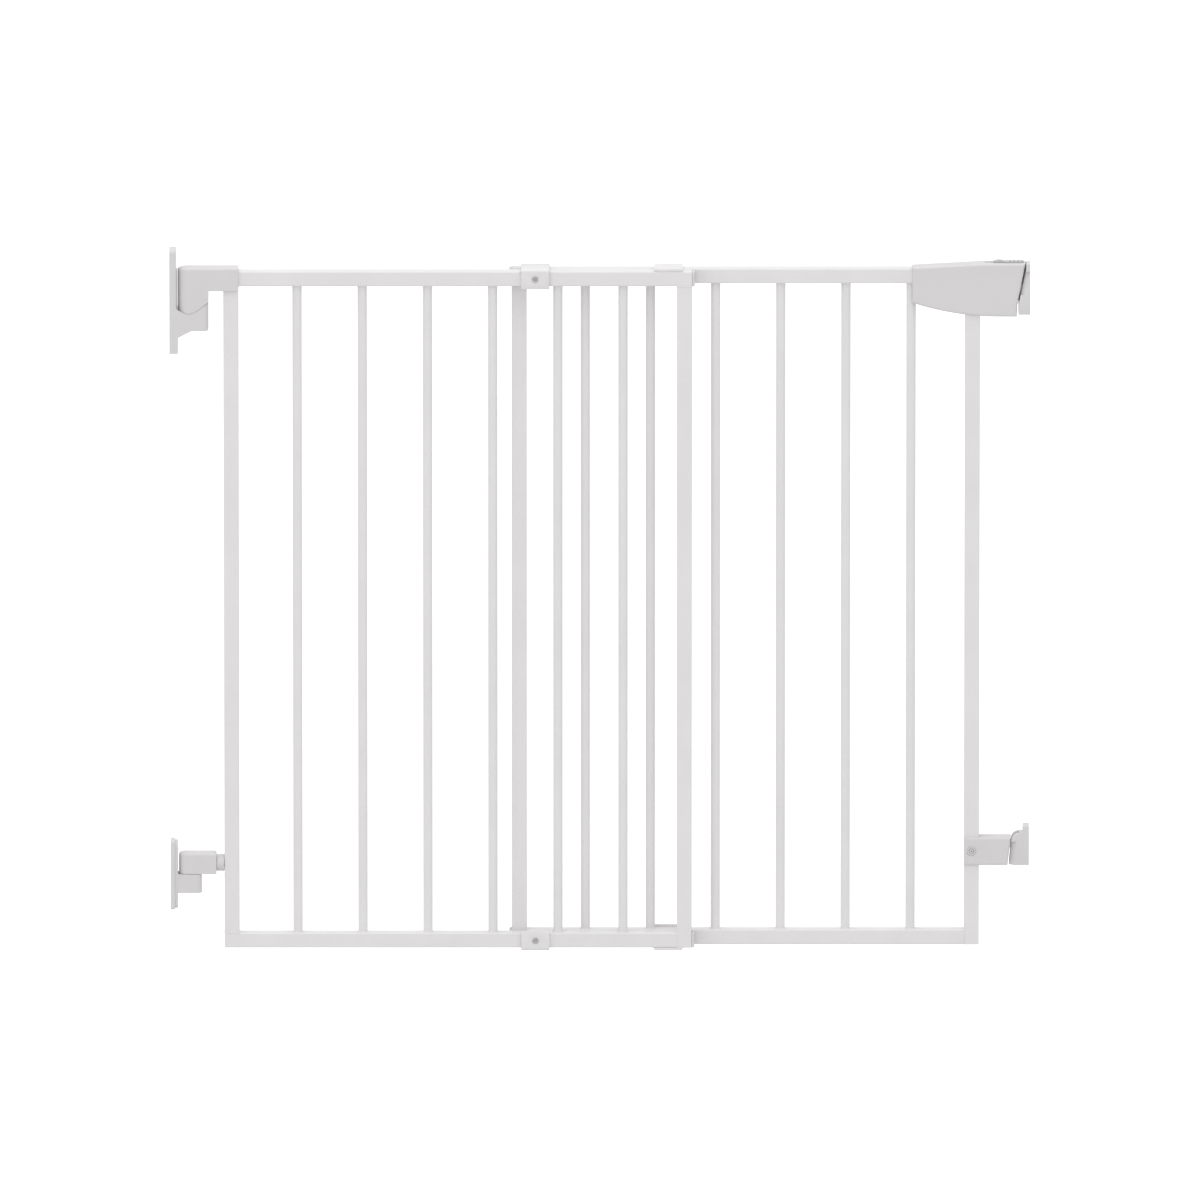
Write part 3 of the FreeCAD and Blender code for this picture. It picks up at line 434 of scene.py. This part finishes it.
def panel_welds(panel):
    """The four corner joints of a panel."""
    first, second = (("hinge_post", "end_post") if panel == "hinge_panel"
                     else ("end_post", "latch_post"))
    beads = [butt_weld("corner", f"{panel}_{first}", "z-"),
             butt_weld("corner", f"{panel}_{second}", "z+"),
             butt_weld("corner", f"{panel}_bottom_rail", "x+"),
             butt_weld("corner", f"{panel}_top_rail", "x-")]
    fit(joined(panel + "_corner_welds", beads), panel, powder_white, "white_paint")


def clamp_welds(clamp, panel):
    """Beads along the clamp plate's two short ends, on its own rail."""
    low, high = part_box(clamp)
    rail_low, rail_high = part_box(panel + ("_top_rail" if "upper" in clamp else "_bottom_rail"))
    level = rail_high.z if "upper" in clamp else rail_low.z
    beads = []
    for x in (low.x, high.x):
        bead = rod("bead", (x, rail_low.y + 2 * MM, level), "y", rail_high.y - rail_low.y - 4 * MM,
                   1.3 * MM, sides=16)
        edit(bead, "FACE", lambda at, normal: abs(normal.y) > 0.9)
        bpy.ops.mesh.inset(thickness=0.5 * MM, depth=0.5 * MM, use_individual=True)
        clear()
        soften(bead, 0.2 * MM)
        beads.append(bead)
    fit(joined(clamp + "_welds", beads), panel, powder_white, "white_paint")


for panel in ("hinge_panel", "latch_panel"):
    bar_welds(panel)
    panel_welds(panel)


# ------------------------------------------------------------ clamps, screws and the levelling nut
def clamp_strap(clamp, panel):
    """The clamp's bent strap with eased edges."""
    strap = from_node(clamp, clamp + "_strap")
    soften(strap, 0.45 * MM, segments=3)
    fit(strap, panel, powder_white, "white_paint", clamp)


def set_screw(name, node, panel, outer):
    """Socket set screw with a bevelled rim and a dished mouth; outer is the sign of Y it faces."""
    low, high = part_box(node)
    at = (low + high) / 2
    radius = (high.z - low.z) / 2
    screw = rod(name, (at.x, low.y, at.z), "y", high.y - low.y, radius)
    edit(screw, "FACE", lambda place, normal: normal.y * outer > 0.9)
    bpy.ops.mesh.bevel(offset=0.5 * MM, segments=3, affect="EDGES")
    edit(screw, "FACE", lambda place, normal: normal.y * outer > 0.99)
    bpy.ops.mesh.inset(thickness=0.35 * MM)
    bpy.ops.mesh.inset(thickness=0.3 * MM, depth=-0.3 * MM)
    clear()
    face = high.y if outer > 0 else low.y
    socket = rod("socket", (at.x, face - outer * 2 * MM, at.z), "y", outer * 3 * MM, 1.45 * MM,
                 sides=6)
    carve(screw, socket)
    soften(screw, 0.08 * MM)
    fit(screw, panel, zinc, "zinc_screws", node)


for clamp, panel, outer in (("rear_clamp_upper", "latch_panel", -1),
                            ("rear_clamp_lower", "latch_panel", -1),
                            ("front_clamp_upper", "hinge_panel", 1),
                            ("front_clamp_lower", "hinge_panel", 1)):
    clamp_welds(clamp, panel)
    clamp_strap(clamp, panel)
    set_screw(clamp + "_grub", clamp + "_screw", panel, outer)


def bracket_screw():
    """Flush screw of the bottom bracket: a rim, a turned groove and a low domed middle."""
    low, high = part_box("bottom_latch_screw")
    at = (low + high) / 2
    radius = (high.z - low.z) / 2
    screw = rod("bracket_cross_screw", (at.x, low.y, at.z), "y", 2 * MM, radius, sides=64)
    edit(screw, "FACE", lambda place, normal: normal.y < -0.9)
    bpy.ops.mesh.bevel(offset=0.65 * MM, segments=2, affect="EDGES")
    edit(screw, "FACE", lambda place, normal: normal.y < -0.99)
    bpy.ops.mesh.inset(thickness=1.2 * MM)
    bpy.ops.mesh.inset(thickness=0.2 * MM, depth=-1.1 * MM)
    bpy.ops.mesh.inset(thickness=0.55 * MM)
    bpy.ops.mesh.inset(thickness=0.2 * MM, depth=1.0 * MM)
    bpy.ops.mesh.inset(thickness=0.6 * MM, depth=0.05 * MM)
    clear()
    shank = rod("shank", (at.x, low.y + 1.5 * MM, at.z), "y", high.y - low.y - 1.5 * MM, 3 * MM)
    carve(screw, shank, "UNION")
    socket = rod("socket", (at.x, low.y - 1 * MM, at.z), "y", 2.6 * MM, 1.0 * MM, sides=6)
    carve(screw, socket)
    soften(screw, 0.1 * MM)
    # The plated finish paints shade dark into this screw's rim and turned groove.
    fit(screw, "latch_panel", white_zinc, "white_screws", "bottom_latch_screw")


bracket_screw()


def levelling_nut():
    """Round nut with a pressed grip flute on every fourth facet and eased rims."""
    low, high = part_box("lower_hinge_nut")
    at = (low + high) / 2
    facets = 96
    nut = rod("levelling_nut", (low.x, at.y, at.z), "x", high.x - low.x, (high.z - low.z) / 2,
              facets)
    edit(nut, "FACE", lambda place, normal: abs(normal.x) > 0.9)
    bpy.ops.mesh.bevel(offset=0.6 * MM, segments=3, affect="EDGES")
    edit(nut, "FACE", lambda place, normal: abs(normal.x) < 0.05
         and round(atan2(normal.z, normal.y) / (2 * pi / facets) - 0.5) % 4 == 0)
    bpy.ops.mesh.inset(thickness=0.12 * MM, depth=-0.14 * MM, use_individual=True)
    clear()
    thread_radius = 5.05 * MM
    bore = rod("bore", (low.x - MM, at.y, at.z), "x", high.x - low.x + 2 * MM, thread_radius)
    carve(nut, bore)
    soften(nut, 0.08 * MM)
    fit(nut, "level_nut", moulded_white, "white_plastic", "lower_hinge_nut")


levelling_nut()


# ------------------------------------------------------------ mouldings
def rail_cap(name, node, panel, side, spigot):
    """A crowned cap with a dished face; side is the sign of X it faces, and a spigot holds it."""
    low, high = (Vector(corner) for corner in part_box(node))
    outer = high.x if side > 0 else low.x
    head = 2.8 * MM
    inner = outer - side * head
    cap = block(name, (min(outer, inner), low.y, low.z), (max(outer, inner), high.y, high.z))
    soften(cap, 1.1 * MM, segments=4, angle=50)
    edit(cap, "FACE", lambda place, normal: normal.x * side > 0.99)
    bpy.ops.mesh.inset(thickness=1.4 * MM)
    bpy.ops.mesh.inset(thickness=0.5 * MM, depth=-0.3 * MM)
    clear()
    if spigot:
        far = inner - side * 9 * MM
        inset = 1.35 * MM
        plug = block("plug", (min(inner, far), low.y + inset, low.z + inset),
                     (max(inner, far), high.y - inset, high.z - inset))
        edit(plug, "FACE", lambda place, normal: normal.x * side < -0.99)
        bpy.ops.transform.resize(value=(1, 0.94, 0.94))
        clear()
        cap = joined(name, [cap, plug])
    hold(cap)
    bpy.ops.object.shade_smooth_by_angle(angle=radians(40))
    fit(cap, panel, moulded_white, "white_plastic", node)


rail_cap("hinge_rail_top_cap", "hinge_panel_top_cap", "hinge_panel", 1, True)
rail_cap("hinge_rail_bottom_cap", "hinge_panel_bottom_cap", "hinge_panel", 1, False)
rail_cap("latch_rail_top_cap", "latch_panel_top_cap", "latch_panel", -1, False)
rail_cap("latch_rail_bottom_cap", "latch_panel_bottom_cap", "latch_panel", -1, True)


def thumb_slide():
    """Grey slide with a low finger stop at its tail and four grip ribs."""
    low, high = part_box("thumb_slide")
    deck = low.z + 0.9 * MM
    stop_x, stop_half, stop_edge = low.x + 6 * MM, 4.4 * MM, 1.2 * MM
    ribs, first_rib, rib_pitch, rib_edge = 4, low.x + 17.7 * MM, 4.2 * MM, 1.3 * MM
    slide = block("ribbed_thumb_slide", low, (high.x, high.y, deck))
    edit(slide, "EDGE", lambda one, two: abs(one.z - two.z) > 0.5 * MM)
    bpy.ops.mesh.bevel(offset=2.4 * MM, segments=6, affect="EDGES")
    clear()
    stop = rod("stop", (stop_x, low.y + stop_edge, deck), "y", high.y - low.y - 2 * stop_edge, 1)
    edit(stop, "VERT", lambda place: True)
    bpy.ops.transform.resize(value=(stop_half, 1, high.z - deck), center_override=(stop_x, 0, deck))
    clear()
    soften(stop, 0.3 * MM)
    carve(slide, stop, "UNION")
    for number in range(ribs):
        rib = rod("rib", (first_rib + rib_pitch * number, low.y + rib_edge, deck), "y",
                  high.y - low.y - 2 * rib_edge, 0.8 * MM, sides=24)
        carve(slide, rib, "UNION")
    soften(slide, 0.15 * MM)
    fit(slide, "latch_slide", moulded_grey, "grey_plastic", "thumb_slide")


thumb_slide()


def leaning(name, low, high, lean):
    """A block between two corners whose top is moved right, as the upper strike's face leans."""
    lip = block(name, low, high)
    edit(lip, "FACE", lambda place, normal: normal.z > 0.9)
    bpy.ops.transform.translate(value=(lean, 0, 0))
    clear()
    return lip


def stop_lip(strike):
    """Lip on the upper strike's back that reaches behind the closed case, clear of it."""
    low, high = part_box("upper_strike")
    face, bottom, top, lean = low.x + 0.2 * MM, low.z + 11 * MM, high.z - MM, 7.7 * MM
    back = high.y + 1.3 * MM
    carve(strike, leaning("lip foot", (face + 0.6 * MM, high.y - 0.6 * MM, bottom),
                          (face + 2.6 * MM, back, top), lean), "UNION")
    carve(strike, leaning("lip", (face - 2.4 * MM, high.y + 0.35 * MM, bottom),
                          (face + 2.0 * MM, back, top), lean), "UNION")


def wall_strike(name, node, lead_in, lip=False):
    """A moulded strike with eased edges; lead_in rounds the front corner that the latch meets."""
    strike = from_node(node, name)
    if lip:
        stop_lip(strike)
    low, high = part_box(node)
    edit(strike, "EDGE", lambda one, two: abs(one.z - two.z) > 12 * MM
         and max(one.y, two.y) < low.y + 6 * MM and max(one.x, two.x) < high.x - 3.5 * MM)
    bpy.ops.mesh.bevel(offset=lead_in, segments=6, affect="EDGES")
    clear()
    soften(strike, 0.5 * MM, segments=3)
    fit(strike, "latch_wall_hardware", moulded_white, "white_plastic", node)


def return_spring():
    """The bolt's spring, held at its left end by the case and pressed by the bolt; here it keeps the
    part's own shape.
    """
    spring = from_node("bolt_spring", "bolt_return_spring")
    hold(spring)
    bpy.ops.object.shade_smooth_by_angle(angle=radians(50))
    fit(spring, "latch_panel", bolt_steel, "zinc_steel", "bolt_spring")
    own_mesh(spring)


return_spring()
wall_strike("upper_wall_strike", "upper_strike", lead_in=0.9 * MM, lip=True)
wall_strike("lower_wall_strike", "lower_strike", lead_in=2.2 * MM)

# ------------------------------------------------------------ room, light and camera
left_foot, right_top = (Vector(corner) for corner in cad_box)
centre = Vector(((left_foot.x + right_top.x) / 2 + 0.1 * MM, 0,
                 (left_foot.z + right_top.z) / 2 - 1.15 * MM))
FLOOR_DROP = 0.12


def pale_floor():
    """A wide sheet of paper below the gate, lifted to white where the camera sees it."""
    clear()
    bpy.ops.mesh.primitive_plane_add(size=60, location=(centre.x, 0, left_foot.z - FLOOR_DROP))
    floor = settle(bpy.context.object)
    floor.name = "pale_floor"
    paper = bpy.data.materials.new("pale floor")
    paper.use_nodes = True
    tree = paper.node_tree
    sheet = tree.nodes["Principled BSDF"]
    for label, value in (("Base Color", (0.75, 0.75, 0.75, 1)), ("Roughness", 0.9),
                         ("Specular IOR Level", 0.1), ("Emission Color", (1, 1, 1, 1))):
        sheet.inputs[label].default_value = value
    seen = add(tree, "LightPath").outputs["Is Camera Ray"]
    tree.links.new(maths(tree, "MULTIPLY", seen, 0.55), sheet.inputs["Emission Strength"])
    floor.data.materials.append(paper)


def white_room(strength, lift):
    """An even white surround; lift is what it gains where the camera sees it."""
    room = bpy.data.worlds.new("white room")
    bpy.context.scene.world = room
    room.use_nodes = True
    tree = room.node_tree
    sky = tree.nodes["Background"]
    sky.inputs["Color"].default_value = (1, 1, 1, 1)
    seen = add(tree, "LightPath").outputs["Is Camera Ray"]
    level = maths(tree, "ADD", maths(tree, "MULTIPLY", seen, lift), strength)
    tree.links.new(level, sky.inputs["Strength"])


def lamp(name, place, size, power):
    """A square softbox that faces the gate."""
    clear()
    bpy.ops.object.light_add(type="AREA", location=place)
    light = bpy.context.object
    light.name = name
    light.data.size = size
    light.data.energy = power
    light.rotation_mode = "QUATERNION"
    light.rotation_quaternion = (centre - Vector(place)).to_track_quat("-Z", "Y")


def long_lens_camera(wide, tilt):
    """A camera far back; wide is what it takes in across, tilt is how far it looks down."""
    bpy.ops.object.camera_add()
    camera = bpy.context.object
    camera.name = "camera"
    bpy.context.scene.camera = camera
    camera.data.lens = 1000
    camera.data.sensor_width = 36
    camera.data.clip_end = 200
    away = wide * camera.data.lens / camera.data.sensor_width
    camera.location = centre + Vector((0, -cos(tilt), sin(tilt))) * away
    camera.rotation_euler = (pi / 2 - tilt, 0, 0)


pale_floor()
white_room(strength=0.89, lift=0.20)
lamp("softbox above", (0.3, -0.6, 3.4), size=2.6, power=23)
lamp("softbox left", (-2.6, -2.8, 1.6), size=1.8, power=10)
lamp("softbox right", (3.2, -2.4, 1.0), size=2.2, power=4)
long_lens_camera(wide=1.272, tilt=radians(11))
bpy.context.scene.view_settings.view_transform = "Standard"
